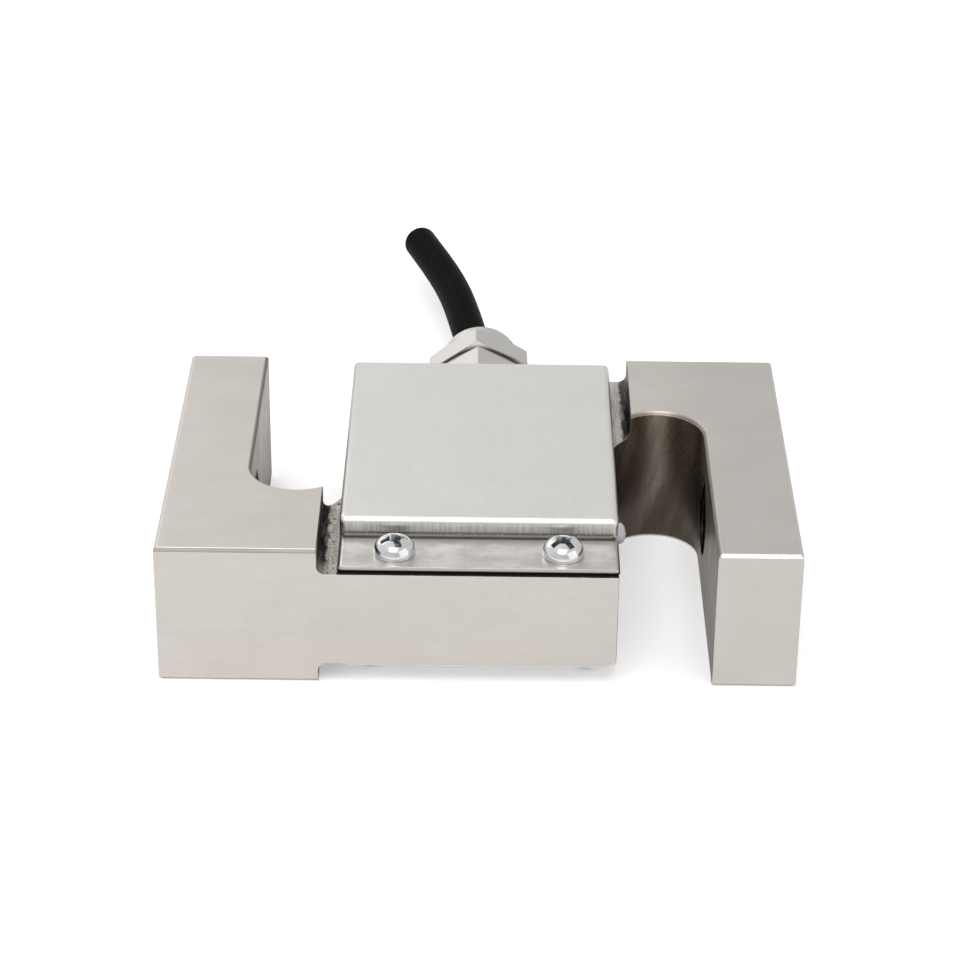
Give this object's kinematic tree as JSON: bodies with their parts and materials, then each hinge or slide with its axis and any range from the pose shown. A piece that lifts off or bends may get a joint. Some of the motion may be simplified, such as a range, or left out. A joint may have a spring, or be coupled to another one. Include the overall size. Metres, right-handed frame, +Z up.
{
  "type": "s type load cell",
  "caption": "S-shaped metal load cell lying on its side, with a stepped top cover held by screws, a metal cable gland at the back and a short bare black cable end.",
  "frame": {"origin": "middle of the steel block's underside, which the cell lies on", "axes": "+X along the pull axis, from the left arm to the right arm; +Y from the screwed edge of the top cover to the cable gland; +Z up, out of the top cover"},
  "size_m": [0.0762, 0.1116, 0.0182],
  "materials": {
    "nickel_plated_steel": "satin nickel plate over milled steel",
    "stainless_sheet": "fine brushed",
    "zinc_plated_screw": "bright zinc plate",
    "nickel_plated_brass": "satin nickel plate",
    "fibre_washer": "matte",
    "seal_rubber": "matte",
    "clamp_ring_brass": "plain turned",
    "cable_black": "satin",
    "tinned_braid": "tinned copper braid",
    "core_red": "satin",
    "core_black": "satin",
    "core_green": "satin",
    "core_white": "satin",
    "board_green": "satin",
    "resistor_black": "satin",
    "gauge_foil": "satin",
    "enamelled_lead": "enamelled copper wire",
    "silicone": "translucent white"
  },
  "bodies": {
    "root": {"spring_element": "nickel_plated_steel", "top_cover": "stainless_sheet", "bottom_cover": "stainless_sheet", "top_cover_screw_left": "zinc_plated_screw", "top_cover_screw_right": "zinc_plated_screw", "bottom_cover_screw_front_left": "zinc_plated_screw", "bottom_cover_screw_front_right": "zinc_plated_screw", "bottom_cover_screw_back_left": "zinc_plated_screw", "bottom_cover_screw_back_right": "zinc_plated_screw", "gland_washer": "fibre_washer", "gland_body": "nickel_plated_brass", "gland_cap_nut": "nickel_plated_brass", "gland_seal": "seal_rubber", "gland_clamp_ring": "clamp_ring_brass", "cable_jacket_in_gland": "cable_black", "cable_jacket": "cable_black", "cable_shield": "tinned_braid", "cable_core_red": "core_red", "cable_core_black": "core_black", "cable_core_green": "core_green", "cable_core_white": "core_white", "terminal_board": "board_green", "trim_resistors": "resistor_black", "strain_gauge_top_left": "gauge_foil", "strain_gauge_top_right": "gauge_foil", "strain_gauge_bottom_left": "gauge_foil", "strain_gauge_bottom_right": "gauge_foil", "gauge_leads_top_left": "enamelled_lead", "gauge_leads_top_right": "enamelled_lead", "gauge_leads_bottom_left": "enamelled_lead", "gauge_leads_bottom_right": "enamelled_lead", "potting_top": "silicone", "potting_bottom": "silicone"}
  },
  "joints": []
}
